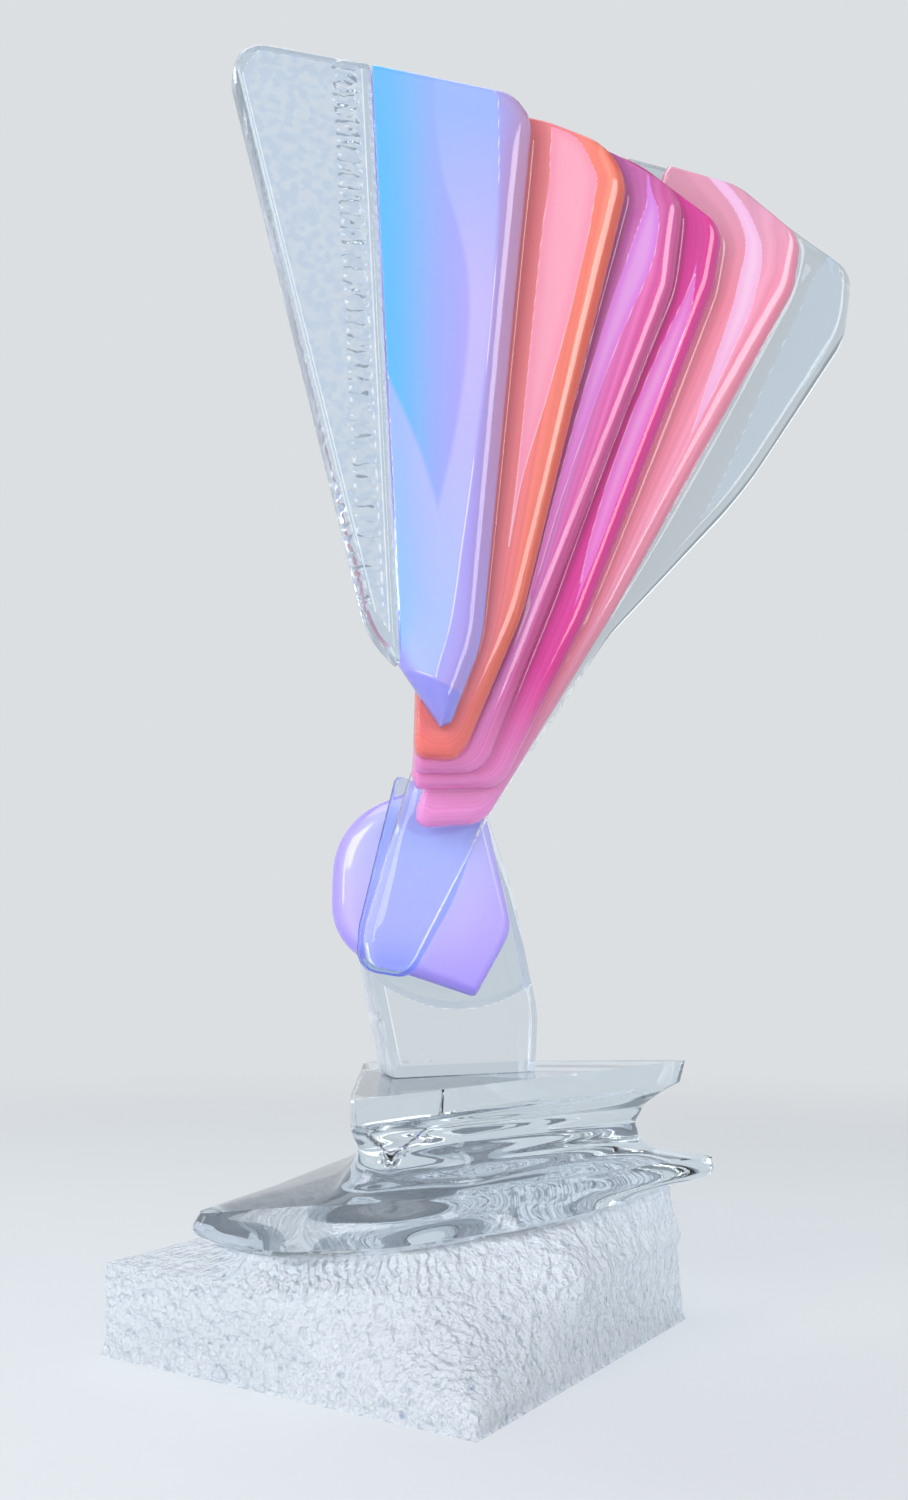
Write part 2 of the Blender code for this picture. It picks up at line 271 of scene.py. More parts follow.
def smoothTable(height, table):
    # a table (height, value, value) read smoothly, without kinks at its rows
    heights, *columns = np.array(sorted(table)).T
    spread = np.linspace(-carving["averaged"], carving["averaged"], 7)
    return [
        np.mean([np.interp(height + step, heights, column) for step in spread], axis=0)
        for column in columns
    ]


def smoothStep(value, low, high):
    share = np.clip((value - low) / (high - low), 0, 1)
    return share**2 * (3 - 2 * share)


def insideCorner(first, second, radius):
    # how far inside two borders, with the corner between them rounded
    return radius - np.hypot(np.maximum(radius - first, 0), np.maximum(radius - second, 0))


def carveFacet(look, here):
    # a flat facet that narrows to a tip, a flute to its left and a soft slope to its right
    left, right = smoothTable(here["height"], look["facet"])
    width = np.maximum(here["gap"] + here["edge"], hair)
    share = here["gap"] / width
    least, skewed = carving["leastShare"], carving["skewed"]
    toLeft = np.clip((left - share) / np.maximum(left, least), 0, 1)
    toRight = np.clip((share - right) / np.maximum(1 - right, least), 0, 1)
    flute = skewed * np.sin(math.pi * toLeft ** carving["skew"])
    flute = flute + (1 - skewed) * np.sin(math.pi * toLeft)
    flute = flute * np.clip(left * width / carving["narrow"], 0, 1)
    depth = look["flute"] * flute + look["slope"] * toRight ** carving["fall"]
    zone = np.minimum(share - left, right - share) * width
    crown = here["crown"] - look["crownGap"]
    zone = np.minimum(zone, insideCorner(crown, (right - share) * width, look["corner"]))
    heights = [row[0] for row in look["facet"]]
    beyond = (here["height"] < min(heights)) | (here["height"] > max(heights))
    noLine = 1.0  # metres: too far from a border for its line to show
    return depth, zone, np.where(beyond, noLine, np.abs(zone))


def carveLedge(look, here):
    # a broad flat face, painted lighter as a painted reflection except in a darker wedge down its middle,
    # up to a ledge on its right and a leaning border across its foot; the surface falls away beyond both
    wedgeLeft, wedgeRight, ledge = smoothTable(here["height"], look["facet"])
    toLedge = ledge - here["x"]
    toFoot = here["height"] + look["tilt"] * here["x"] - look["foot"][1]
    crown = here["crown"] - look["crownGap"]
    face = np.minimum(insideCorner(crown, toLedge, look["corner"]), toFoot)
    fromWedge = np.maximum(wedgeLeft - here["x"], here["x"] - wedgeRight)
    beyond = np.maximum(-np.minimum(toLedge, toFoot), 0)
    depth = look["slope"] * (beyond / (beyond + here["edge"] + hair)) ** carving["fall"]
    return depth, np.minimum(fromWedge, face), np.abs(face)


def carvePost(look, here):
    # a scoop under the disc down to a curved ledge, and a bevel along the sides and the foot; its zone
    # paints the face below the ledge lighter and the scoop above it greyer, painted light and shade, with
    # a painted highlight line along the ledge
    x, height = here["x"], here["height"]
    lowest, middle, curve = look["ledge"]
    overLedge = height - lowest - curve * (x - middle) ** 2
    scoop = smoothStep(overLedge, 0, look["ledgeRise"])
    scoop = scoop * np.exp(-np.maximum(overLedge, 0) / look["scoopFade"])
    fromSide = np.minimum(here["edge"], here["gap"])
    bevel = np.clip(1 - fromSide / look["bevelWidth"], 0, 1)
    zone = np.minimum(fromSide - look["bevelWidth"], -overLedge)
    return np.maximum(look["scoop"] * scoop, look["bevel"] * bevel), zone, np.abs(zone)


def carveDome(look, here):
    # a lens that falls away from the sheet in front to its own edge; it has no bright border
    share = here["gap"] / np.maximum(here["gap"] + here["edge"], hair)
    return look["dome"] * share ** carving["domeFall"], here["edge"], here["edge"] + 1


def carveNothing(look, here):
    # a flat face inside a plain margin
    fromRim = here["gap"] - look["rimWidth"]
    zone = np.minimum(fromRim, here["edge"] - look["seamWidth"])
    zone = np.minimum(zone, insideCorner(here["crown"] - look["crownGap"], fromRim, look["corner"]))
    return 0 * zone, zone, np.abs(zone)


# sheets: a fine front on the solid's own outlines, rounded over to its land and its back

def faceGrid(shape, inner, corners, counts, front):
    # a grid drawn between the four sides of the inner outline; gives each border point's
    # place on that outline
    topLeft, topRight, footRight, footLeft = corners
    columns, rows = counts
    top = sidePlaces(inner, topLeft, topRight, columns + 1)
    right = sidePlaces(inner, topRight, footRight, rows + 1)
    foot = sidePlaces(inner, footRight, footLeft, columns + 1)[::-1]
    left = sidePlaces(inner, footLeft, topLeft, rows + 1)[::-1]
    topRun, rightRun, footRun, leftRun = (along(inner, places) for places in (top, right, foot, left))
    bmesh.ops.create_grid(shape, x_segments=columns, y_segments=rows, size=0.5)
    onSide = {}
    for vert in shape.verts:
        i, j = round((vert.co.x + 0.5) * columns), round((0.5 - vert.co.y) * rows)
        u, v = i / columns, j / rows
        place = (
            (1 - v) * topRun[i] + v * footRun[i] + (1 - u) * leftRun[j] + u * rightRun[j]
            - (1 - u) * (1 - v) * topRun[0] - u * (1 - v) * topRun[-1]
            - (1 - u) * v * footRun[0] - u * v * footRun[-1]
        )
        vert.co = (place[0], front, place[1])
        if j in (0, rows):
            onSide[vert] = top[i] if j == 0 else foot[i]
        elif i in (0, columns):
            onSide[vert] = left[j] if i == 0 else right[j]
    return onSide


def rimStages(inner, backRing, levels, steps):
    # the way from the face over the rounded shoulder, along the land and round to the back:
    # (outline drawn towards, its share, level, strength of the rim's colour)
    front, shoulder, land, back = levels
    stages = []
    for step in range(1, steps + 1):
        angle = math.pi / 2 * (1 - step / steps)
        share = 1 - math.cos(angle)
        stages.append((inner, share, front + (shoulder - front) * (1 - math.sin(angle)), 1 - share))
    if land > shoulder + sameLevel:
        stages.append((inner, 0.0, land, 1.0))
    if land < back - sameLevel:
        backSteps = max(3, steps // 2)
        for step in range(1, backSteps + 1):
            angle = math.pi / 2 * step / backSteps
            level = land + (back - land) * math.sin(angle)
            stages.append((backRing, 1 - math.cos(angle), level, 1 - step / backSteps))
    else:
        # one outline on the flat back, where the rim's colour ends
        stages.append((inner, 0.3, back, 0.0))
    return stages


def drawRim(shape, rimLayer, onSide, outer, stages):
    # the open border drawn on from stage to stage
    for target, share, level, rim in stages:
        border = [edge for edge in shape.edges if edge.is_boundary]
        made = bmesh.ops.extrude_edge_only(shape, edges=border)["geom"]
        verts = [item for item in made if isinstance(item, bmesh.types.BMVert)]
        places = []
        for vert in verts:
            drawnFrom = next(v for edge in vert.link_edges for v in edge.verts if v in onSide)
            places.append(onSide[drawnFrom])
        onSide = dict(zip(verts, places))
        drawn = along(outer, places) * (1 - share) + along(target, places) * share
        for vert, place in zip(verts, drawn):
            vert.co = (place[0], level, place[1])
            vert[rimLayer] = rim


def measure(points, outer, corners, neighbour):
    # each point's place, and its distance from the sheet's sides and from the sheet in front
    topLeft, topRight, _footRight, footLeft = corners

    def sideDistance(first, last):
        return runDistance(points, along(outer, stretch(outer, first, last, 6)))

    here = {
        "x": points[:, 0], "height": points[:, 1] - platform,
        "crown": sideDistance(topLeft, topRight), "edge": sideDistance(topRight, footLeft),
    }
    if neighbour:
        here["gap"] = outsideDistance(points, outerRing(neighbour))
    else:
        here["gap"] = sideDistance(footLeft, topLeft)
    return here


def sheet(name, nodeName, look, carve, neighbour=None):
    rings = levelRings(nodeName)
    widest = max(span(points) for _level, points in rings)
    wide = [i for i, (_level, points) in enumerate(rings) if span(points) > widest - sameLevel]
    outer = rings[wide[0]][1]
    inner, backRing = matched(rings[0][1], outer), matched(rings[-1][1], outer)
    levels = [rings[i][0] for i in (0, wide[0], wide[-1], -1)]
    front, shoulder, _land, _back = levels
    corners = [int(np.argmin(((outer - (x, platform + z)) ** 2).sum(1))) for x, z in look["corners"]]

    shape = bmesh.new()
    kinds = ("rim", "across", "zone", "line", "edge")
    layers = {kind: shape.verts.layers.float.new(kind) for kind in kinds}
    onSide = faceGrid(shape, inner, corners, look["mesh"], front)
    drawRim(shape, layers["rim"], onSide, outer, rimStages(inner, backRing, levels, look["steps"]))
    closeShape(shape)

    verts = list(shape.verts)
    here = measure(np.array([(vert.co.x, vert.co.z) for vert in verts]), outer, corners, neighbour)
    depth, zone, line = carve(look, here)
    read = {
        "across": here["gap"] / np.maximum(here["gap"] + here["edge"], hair),
        "zone": millimetres * zone, "line": millimetres * line, "edge": millimetres * here["edge"],
    }
    for i, vert in enumerate(verts):
        for kind, values in read.items():
            vert[layers[kind]] = values[i]
        if vert.co.y < shoulder + sameLevel:
            vert.co.y += depth[i] * (1 - vert[layers["rim"]])
    return addPiece(shape, name, nodeName, crispAngle=50)


def dyedAcrylic(name, look):
    # dyed cast acrylic, carved and flame-polished: glassy; its colour is painted darker next to the sheet
    # in front, painted shade in the crease, its facets painted lighter as a painted reflection, with a
    # painted highlight line along their border
    made, tree, shader = newMaterial(name)
    across, zone, line, rim = (
        addNode(tree, "Attribute", out="Fac", attribute_name=layer)
        for layer in ("across", "zone", "line", "rim")
    )
    place = addNode(tree, "TexCoord", out="Object")
    toRight = addNode(tree, "SeparateXYZ", [place], out="X")
    height = addNode(tree, "SeparateXYZ", [place], out="Z")
    # bands of the dye's colours from the sheet in front across to the blade's own edge; on most blades
    # they are darkened next to that sheet as painted shade and lightened across the shoulder as painted
    # highlights; another colour at the top
    colour = addNode(tree, "ValToRGB", [across], look["bands"])
    low, high, amount, topColour = look["top"]
    atTop = addNode(tree, "MapRange", [height, platform + low, platform + high, 0.0, amount], **soft)
    # the facet is painted lighter, the dye with a painted reflection over it, with a painted highlight
    # towards its middle and a painted highlight line along its border
    facetFoot, facetCrown = platform + 0.20, platform + 0.43
    up = addNode(tree, "MapRange", [height, facetFoot, facetCrown])
    facet = addNode(tree, "ValToRGB", [up], look["facetDyeAndReflection"])
    # painted highlight: the facet whitens towards its middle
    paintedSheen = addNode(tree, "MapRange", [zone, 0.5, 6.0, 0.0, look["paintedSheen"]], **soft)
    facet = addNode(tree, "Mix", {0: paintedSheen, 6: facet, 7: "#FFFFFF"}, **colourMix)
    onFacet = addNode(tree, "MapRange", [zone, -look["soft"], look["soft"]], **soft)
    covers = addNode(tree, "MapRange", [across, 0.0, 0.5, *look["facetMix"]], **soft)
    onFacet = addNode(tree, "Math", [onFacet, covers], operation="MULTIPLY")
    # a painted highlight: a pale line along the facet's border
    paintedHighlightLine = addNode(tree, "MapRange", [line, 0.10, 0.45, look["line"], 0.0], **soft)
    # the rounded shoulder and the cut side, painted deeper as painted shade, then the foot up to a border
    # that may lean
    onRim = addNode(tree, "MapRange", [rim, 0.35, 1.0], **soft)
    shoulderShade = addNode(tree, "ValToRGB", [up], look["rim"])
    low, high, footColour = look["foot"]
    level = addNode(tree, "Math", [toRight, look["tilt"], height], operation="MULTIPLY_ADD")
    atFoot = addNode(tree, "MapRange", [level, platform + low, platform + high, 1.0, 0.0], **soft)
    # over the dye go the painted reflection on the facet, a painted highlight line and painted shade on
    # the shoulder
    layers = (
        (atTop, topColour), (onFacet, facet), (paintedHighlightLine, "#FFF6FB"), (onRim, shoulderShade),
        (atFoot, footColour),
    )
    for share, over in layers:
        colour = addNode(tree, "Mix", {0: share, 6: colour, 7: over}, **colourMix)
    # the dye was drawn along the blade: streaks a few mm wide that follow its sides
    streaksAcross, streaksPerMetre = 14.0, 3.0
    wide = addNode(tree, "Math", [across, streaksAcross], operation="MULTIPLY")
    tall = addNode(tree, "Math", [height, streaksPerMetre], operation="MULTIPLY")
    drawn = addNode(tree, "CombineXYZ", {"X": wide, "Z": tall})
    streaks = addNode(tree, "TexNoise", {"Vector": drawn, "Scale": 1.0, "Detail": 2.0})
    deeper, paler = 1 - look["streaks"], 1 + look["streaks"]
    tone = addNode(tree, "MapRange", [streaks, 0.25, 0.75, deeper, paler], **soft)
    offFacet = addNode(tree, "Math", [1.0, onFacet], operation="SUBTRACT")
    colour = addNode(tree, "HueSaturation", {"Value": tone, "Color": colour, "Fac": offFacet})
    # hand polishing leaves faint waves about 15 mm long
    waves = addNode(tree, "TexNoise", {"Vector": place, "Scale": 60.0, "Detail": 1.0})
    bump = addNode(tree, "Bump", {"Height": waves, "Strength": 0.25, "Distance": 0.0006})
    wear = addNode(tree, "TexNoise", {"Vector": place, "Scale": 400.0, "Detail": 4.0})
    rough = addNode(tree, "MapRange", [wear, 0.0, 1.0, 0.03, 0.09])
    # light gathers in the narrow foot
    clear = addNode(tree, "Math", [atFoot, look["footClear"], look["clear"]], operation="MULTIPLY_ADD")
    milky = addNode(tree, "Math", [atFoot, 0.5, 0.3], operation="MULTIPLY_ADD")
    setInputs(tree, shader, {
        "Base Color": colour, "Normal": bump, "Roughness": rough, "IOR": refraction,
        "Transmission Weight": clear, "Coat Weight": 0.4, "Coat Roughness": 0.02,
        "Subsurface Weight": milky, "Subsurface Radius": (1.0, 0.7, 0.9), "Subsurface Scale": 0.006,
    })
    lightThrough(tree, shader, 0.6, colour)
    return made


def lightThrough(tree, shader, share=1.0, tint="#F8FAFD"):
    # part of the light goes on through acrylic and takes its tint, so what lies behind it
    # stays lit and the ledges at the neck glow
    shadowRay = addNode(tree, "LightPath", out="Is Shadow Ray")
    passing = addNode(tree, "Math", [shadowRay, share], operation="MULTIPLY")
    clear = addNode(tree, "BsdfTransparent", [tint])
    both = addNode(tree, "MixShader", [passing, shader.outputs["BSDF"], clear])
    tree.links.new(both, tree.nodes["Material Output"].inputs["Surface"])


def clearAcrylic(name, look):
    # clear cast acrylic, polished: the faintest cool tint, deeper towards its cut edges, and
    # an icy grain in its face where the sheet was only lightly polished; on the wing, the rear blade and
    # the post the face is painted lighter and bluer than the greyer margin, a painted reflection
    made, tree, shader = newMaterial(name)
    zone, line, edge, rim = (
        addNode(tree, "Attribute", out="Fac", attribute_name=layer)
        for layer in ("zone", "line", "edge", "rim")
    )
    place = addNode(tree, "TexCoord", out="Object")
    height = addNode(tree, "SeparateXYZ", [place], out="Z")
    ice = addNode(tree, "TexNoise", {"Vector": place, "Scale": 260.0, "Detail": 3.0})
    icy = addNode(tree, "MapRange", [ice, 0.40, 0.62, 0.0, look["ice"]], **soft)
    face = addNode(tree, "Mix", {0: icy, 6: look["face"], 7: "#FFFFFF"}, **colourMix)
    # on the wing, rear blade and post, the lighter face over the greyer margin is a painted reflection
    onFacet = addNode(tree, "MapRange", [zone, -0.25, 0.25], **soft)
    onRim = addNode(tree, "MapRange", [rim, 0.3, 1.0], **soft)
    low, high, footColour = look["foot"]
    atFoot = addNode(tree, "MapRange", [height, platform + low, platform + high, 1.0, 0.0], **soft)
    # the cut edge stayed rough for a short way above the neck: white chips about 3 mm wide
    low, high = look["chipped"]
    above = addNode(tree, "MapRange", [height, platform + low, platform + low + 0.01], **soft)
    below = addNode(tree, "MapRange", [height, platform + high - 0.03, platform + high, 1.0, 0.0], **soft)
    beside = addNode(tree, "MapRange", [edge, 1.0, 3.5, 1.0, 0.0], **soft)
    grains = addNode(tree, "TexNoise", {"Vector": place, "Scale": 330.0, "Detail": 2.0})
    chips = addNode(tree, "MapRange", [grains, 0.38, 0.55], **soft)
    for mask in (above, below, beside):
        chips = addNode(tree, "Math", [chips, mask], operation="MULTIPLY")
    colour = look["margin"]
    for share, over in ((onFacet, face), (onRim, look["rim"]), (atFoot, footColour), (chips, "#FFFFFF")):
        colour = addNode(tree, "Mix", {0: share, 6: colour, 7: over}, **colourMix)
    # the saw left a strip of level ripples, about 6 mm apart, beside the seam
    ripples = addNode(tree, "TexWave", {
        "Vector": place, "Scale": 50.0, "Distortion": 3.0, "Detail": 1.0, "Detail Scale": 3.0,
    }, out="Fac", bands_direction="Z")
    fromSeam = addNode(tree, "MapRange", [edge, 6.5, 8.0, 0.0, look["ripples"]], **soft)
    toFace = addNode(tree, "MapRange", [edge, 15.0, 18.0, 1.0, 0.0], **soft)
    for mask in (fromSeam, toFace):
        ripples = addNode(tree, "Math", [ripples, mask], operation="MULTIPLY")
    waves = addNode(tree, "TexNoise", {"Vector": place, "Scale": 45.0, "Detail": 1.0})
    relief = addNode(tree, "Math", [ice, look["ice"], waves], operation="MULTIPLY_ADD")
    relief = addNode(tree, "Math", [relief, ripples], operation="ADD")
    bump = addNode(tree, "Bump", {"Height": relief, "Strength": 0.35, "Distance": 0.0008})
    wear = addNode(tree, "TexNoise", {"Vector": place, "Scale": 300.0, "Detail": 4.0})
    rough = addNode(tree, "MapRange", [wear, 0.0, 1.0, 0.0, 0.03])
    # the border of a facet shows as a fine white line, a painted highlight, and the cut edges are a
    # little milky
    paintedWhiteLine = addNode(tree, "MapRange", [line, 0.10, 0.50, look["line"], 0.0], **soft)
    veiled = addNode(tree, "Math", [chips, 0.85, paintedWhiteLine], operation="MULTIPLY_ADD")
    veiled = addNode(tree, "Math", [onRim, look["rimVeil"], veiled], operation="MULTIPLY_ADD")
    clear = addNode(tree, "Math", [look["clear"], veiled], operation="SUBTRACT", use_clamp=True)
    setInputs(tree, shader, {
        "Base Color": colour, "Normal": bump, "Roughness": rough, "IOR": refraction,
        "Transmission Weight": clear,
    })
    lightThrough(tree, shader)
    return made


# in each look the corners are (x, height), and foot, top and chipped start with the two heights
# between which they begin; mesh is columns and rows, steps the fineness of the shoulder

# what the clear pieces share
clearSheet = {
    "steps": 8, "crownGap": 0.0, "corner": 0.004,
    "foot": (-0.1, -0.09, "#FFFFFF"), "chipped": (0.0, 0.0),  # none
    "ice": 0.0, "ripples": 0.0, "rimVeil": 0.1,
}

# the clear wing at the left

wing = {
    **clearSheet,
    "corners": [(-0.101, 0.4475), (-0.0361, 0.445), (-0.0206, 0.1725), (-0.034, 0.186)],
    "mesh": (60, 110), "crownGap": 0.0045, "corner": 0.008, "rimWidth": 0.0035, "seamWidth": 0.005,
    # the face's lighter blue over the greyer margin by the seam is a painted reflection
    "face": "#D8E7FB", "margin": "#D3DEE8", "rim": "#DDE8F1",
    "ice": 0.55, "ripples": 3.0, "line": 0.6, "clear": 0.92,
}
dress(
    sheet("clearWing", "clear_left_wing", wing, carveNothing),
    clearAcrylic("clear acrylic, wing", wing),
)

# what the coloured pieces share
dyedSheet = {
    "steps": 10, "crownGap": 0.0, "corner": 0.004, "facetMix": (1.0, 1.0), "soft": 0.3, "line": 0.4,
    "top": (0.44, 0.47, 0.0, "#FFFFFF"),  # none
    "paintedSheen": 0.0, "tilt": 0.0, "clear": 0.15, "footClear": 0.0,
}

# the coloured blades, front to back; a facet is (height, left border, right border), as
# shares of the way from the sheet in front to the blade's own edge

# each blade's facet colours are its dye under a painted reflection; on most blades the bands hold painted
# shade by the sheet in front and painted highlights across the shoulder
blue = {
    **dyedSheet,
    "corners": [(-0.036, 0.4475), (0.041, 0.4425), (0.0155, 0.186), (-0.0204, 0.1745)],
    "mesh": (70, 120), "slope": 0.0012, "corner": 0.008,
    # here the facet is (height, x of the wedge's left and right border, x of the ledge)
    "facet": [
        (0.44, -0.04, -0.0078, 0.0219), (0.42, -0.04, -0.007, 0.0221),
        (0.394, -0.04, -0.0036, 0.022), (0.375, -0.04, 0.003, 0.0215),
        (0.352, -0.04, 0.008, 0.02), (0.33, -0.04, 0.0087, 0.0183),
        (0.306, -0.031, 0.0065, 0.0157), (0.28, -0.0185, 0.0028, 0.0125),
        (0.26, -0.011, -0.0012, 0.0095), (0.243, -0.006, -0.0054, 0.0073),
        (0.225, 0.0, -0.01, 0.0047), (0.2, 0.0, -0.01, 0.0015),
        (0.185, 0.0, -0.01, -0.0013), (0.168, 0.0, -0.01, -0.0074),
    ],
    "bands": [
        (0.0, "#60BAFD"), (0.12, "#6EBBFD"), (0.24, "#86B7FC"), (0.36, "#9BB1FA"),
        (0.5, "#A8ACF7"), (0.66, "#B5AAEE"), (0.73, "#B2A5EF"),
        (0.8, "#B09FE0"), (0.88, "#BC99CC"), (0.95, "#CB9ABB"), (1.0, "#D79CAE"),
    ],
    "top": (0.4, 0.45, 0.25, "#7CBCFF"),
    "facetDyeAndReflection": [(0.0, "#B4C8FD"), (0.3, "#C4C0FC"), (0.6, "#CBBFF7"), (1.0, "#9DB8FC")],
    "facetMix": (0.55, 0.85), "soft": 1.5, "line": 0.7,
    "rim": [(0.0, "#A7A3F0"), (0.35, "#C395C2")],
    "foot": (0.164, 0.1656, "#9C9BE9"), "tilt": 0.377, "streaks": 0.01,
}
coral = {
    **dyedSheet,
    "corners": [(-0.004, 0.443), (0.093, 0.428), (0.008, 0.136), (-0.0125, 0.137)],
    "mesh": (100, 130), "flute": 0.0018, "slope": 0.0012, "crownGap": 0.004, "corner": 0.012,
    "facet": [
        (0.46, 0.25, 0.66), (0.422, 0.24, 0.67), (0.41, 0.23, 0.68), (0.382, 0.22, 0.7),
        (0.336, 0.25, 0.66), (0.295, 0.29, 0.56), (0.263, 0.33, 0.41), (0.23, 0.36, 0.36),
    ],
    "bands": [
        (0.0, "#D2686E"), (0.1, "#DA747A"), (0.2, "#E28288"), (0.45, "#F08488"), (0.66, "#F98A7C"),
        (0.75, "#F58474"), (0.82, "#FF9C86"), (0.9, "#EE7762"), (1.0, "#E2644F"),
    ],
    "paintedSheen": 0.1, "facetDyeAndReflection": [(0.0, "#F79CBA"), (1.0, "#F79FB9")],
    "rim": even("#D8604F"), "foot": (0.125, 0.19, "#EE7C78"), "streaks": 0.06,
}
rose = {
    **dyedSheet,
    "corners": [(0.004, 0.443), (0.121, 0.416), (0.02, 0.1325), (-0.0112, 0.131)],
    "mesh": (110, 130), "flute": 0.0019, "slope": 0.0016,
    "facet": [
        (0.416, 0.44, 0.46), (0.402, 0.33, 0.59), (0.39, 0.28, 0.64), (0.372, 0.22, 0.58),
        (0.338, 0.16, 0.46), (0.3, 0.11, 0.36), (0.25, 0.08, 0.25), (0.2, 0.1, 0.2),
        (0.165, 0.14, 0.14),
    ],
    "bands": [
        (0.0, "#94397A"), (0.07, "#A84A8C"), (0.2, "#C871B8"), (0.36, "#DC80C8"), (0.5, "#E06CB6"),
        (0.6, "#E878BC"), (0.72, "#E05AA8"), (0.82, "#E86EB0"), (0.92, "#DC4E9E"), (1.0, "#C83E8C"),
    ],
    "top": (0.37, 0.43, 0.5, "#AE4E92"),
    "paintedSheen": 0.22, "facetDyeAndReflection": [(0.0, "#E882D4"), (1.0, "#DA88E6")],
    "rim": even("#C04A8C"), "foot": (0.125, 0.185, "#EC92CE"), "streaks": 0.09,
}
magenta = {
    **dyedSheet,
    "corners": [(0.012, 0.443), (0.145, 0.407), (0.03, 0.127), (-0.0105, 0.1255)],
    "mesh": (120, 130), "flute": 0.0016, "slope": 0.001,
    "facet": [
        (0.38, 0.45, 0.45), (0.36, 0.3, 0.62), (0.334, 0.22, 0.66), (0.308, 0.18, 0.62),
        (0.275, 0.2, 0.6), (0.24, 0.34, 0.62), (0.212, 0.58, 0.58),
    ],
    "bands": [
        (0.0, "#B0247A"), (0.1, "#CC3090"), (0.25, "#E03CA0"), (0.5, "#E448A8"), (0.68, "#EA349C"),
        (0.8, "#E63098"), (0.92, "#DE3C98"), (1.0, "#CC3488"),
    ],
    "top": (0.34, 0.4, 0.4, "#C2368C"),
    "paintedSheen": 0.25, "facetDyeAndReflection": [(0.0, "#F07CD6"), (1.0, "#EA7CD6")],
    "rim": even("#C83C90"), "foot": (0.125, 0.185, "#EC92CE"), "streaks": 0.08,
}
pink = {
    **dyedSheet,
    "corners": [(0.119, 0.443), (0.191, 0.413), (0.024, 0.112), (-0.01, 0.109)],
    "mesh": (100, 150), "flute": 0.0016, "slope": 0.0018,
    "facet": [
        (0.434, 0.28, 0.34), (0.421, 0.33, 0.45), (0.41, 0.33, 0.49), (0.39, 0.3, 0.53),
        (0.37, 0.34, 0.59), (0.345, 0.41, 0.61), (0.32, 0.5, 0.63), (0.3, 0.61, 0.61),
    ],
    "bands": [
        (0.0, "#DE7E96"), (0.12, "#EA8AA0"), (0.3, "#F294AC"), (0.48, "#F4A0BC"), (0.62, "#F8A8C4"),
        (0.72, "#F596B4"), (0.82, "#FAA4BE"), (0.92, "#F08AA8"), (1.0, "#E27C98"),
    ],
    "top": (0.36, 0.44, 0.6, "#D4A8C4"),
    "paintedSheen": 0.35, "facetDyeAndReflection": [(0.0, "#F4AEDC"), (1.0, "#F4C2EA")],
    "soft": 0.4, "line": 0.5,
    "rim": even("#DF90A8"), "foot": (0.11, 0.185, "#EFA0DA"), "streaks": 0.07,
    "clear": 0.2, "footClear": 0.1,
}

# (stem of the names, look, carving, sheet in front, dye)
blades = (
    ("blue", blue, carveLedge, "clear_left_wing", "sky blue"),
    ("coral", coral, carveFacet, "blue_blade", "coral"),
    ("rose", rose, carveFacet, "coral_blade", "orchid rose"),
    ("magenta", magenta, carveFacet, "rose_blade", "magenta"),
    ("pink", pink, carveFacet, "magenta_blade", "light pink"),
)
for stem, look, carve, before, dye in blades:
    blade = sheet(stem + "Blade", stem + "_blade", look, carve, before)
    dress(blade, dyedAcrylic(dye + " dyed acrylic", look))

# the clear blade at the back, which runs on down to the tail

rear = {
    **clearSheet,
    "corners": [(0.098, 0.45), (0.224, 0.402), (-0.008, 0.046), (-0.028, 0.05)],
    "mesh": (80, 180), "flute": 0.0015, "slope": 0.0006,
    "facet": [
        (0.408, 0.6, 0.66), (0.393, 0.21, 0.81), (0.37, 0.22, 0.82), (0.345, 0.28, 0.84),
        (0.32, 0.36, 0.8), (0.28, 0.55, 0.76), (0.262, 0.68, 0.68),
    ],
    # the face's lighter blue over the greyer margin is a painted reflection
    "face": "#DAEBFA", "margin": "#D6DDE2", "rim": "#E2ECF3", "foot": (0.12, 0.2, "#F8FAFE"),
    "chipped": (0.1, 0.205), "line": 0.5, "clear": 0.97,
}
dress(
    sheet("clearRearBlade", "clear_rear_blade", rear, carveFacet, "pink_blade"),
    clearAcrylic("clear acrylic, rear blade", rear),
)
print("blades made")

# the foot of the fan: tongue, disc and post

tongue = {
    **clearSheet,
    "corners": [(-0.013, 0.1345), (0.03, 0.122), (-0.006, 0.044), (-0.03, 0.048)],
    "mesh": (40, 60), "steps": 5, "corner": 0.002, "rimWidth": 0.0015, "seamWidth": 0.003,
    "face": "#F2F8FF", "margin": "#D0E2FF", "rim": "#A8C6FF", "foot": (0.045, 0.07, "#C2DEFF"),
    "line": 0.0, "clear": 1.0, "rimVeil": 0.0,
}
dress(
    sheet("blueTongue", "blue_tongue", tongue, carveNothing),
    clearAcrylic("pale blue acrylic, tongue", tongue),
)

disc = {
    **dyedSheet,
    "corners": [(-0.039, 0.114), (0.031, 0.12), (0.026, 0.0355), (-0.04, 0.057)],
    "mesh": (60, 60), "dome": 0.0019,
    "bands": [(0.0, "#CFC2FF"), (1.0, "#C0AEFF")],
    "top": (0.065, 0.125, 1.0, "#C9CEFC"),
    "facetDyeAndReflection": even("#B0AAF8"), "facetMix": (0.0, 0.0), "soft": 1.0, "line": 0.0,
    "rim": even("#AE9BFC"), "foot": (0.02, 0.075, "#B6A3FF"), "streaks": 0.0, "clear": 0.2,
}
dress(
    sheet("lavenderDisc", "lavender_disc", disc, carveDome, "blue_tongue"),
    dyedAcrylic("lavender dyed acrylic", disc),
)

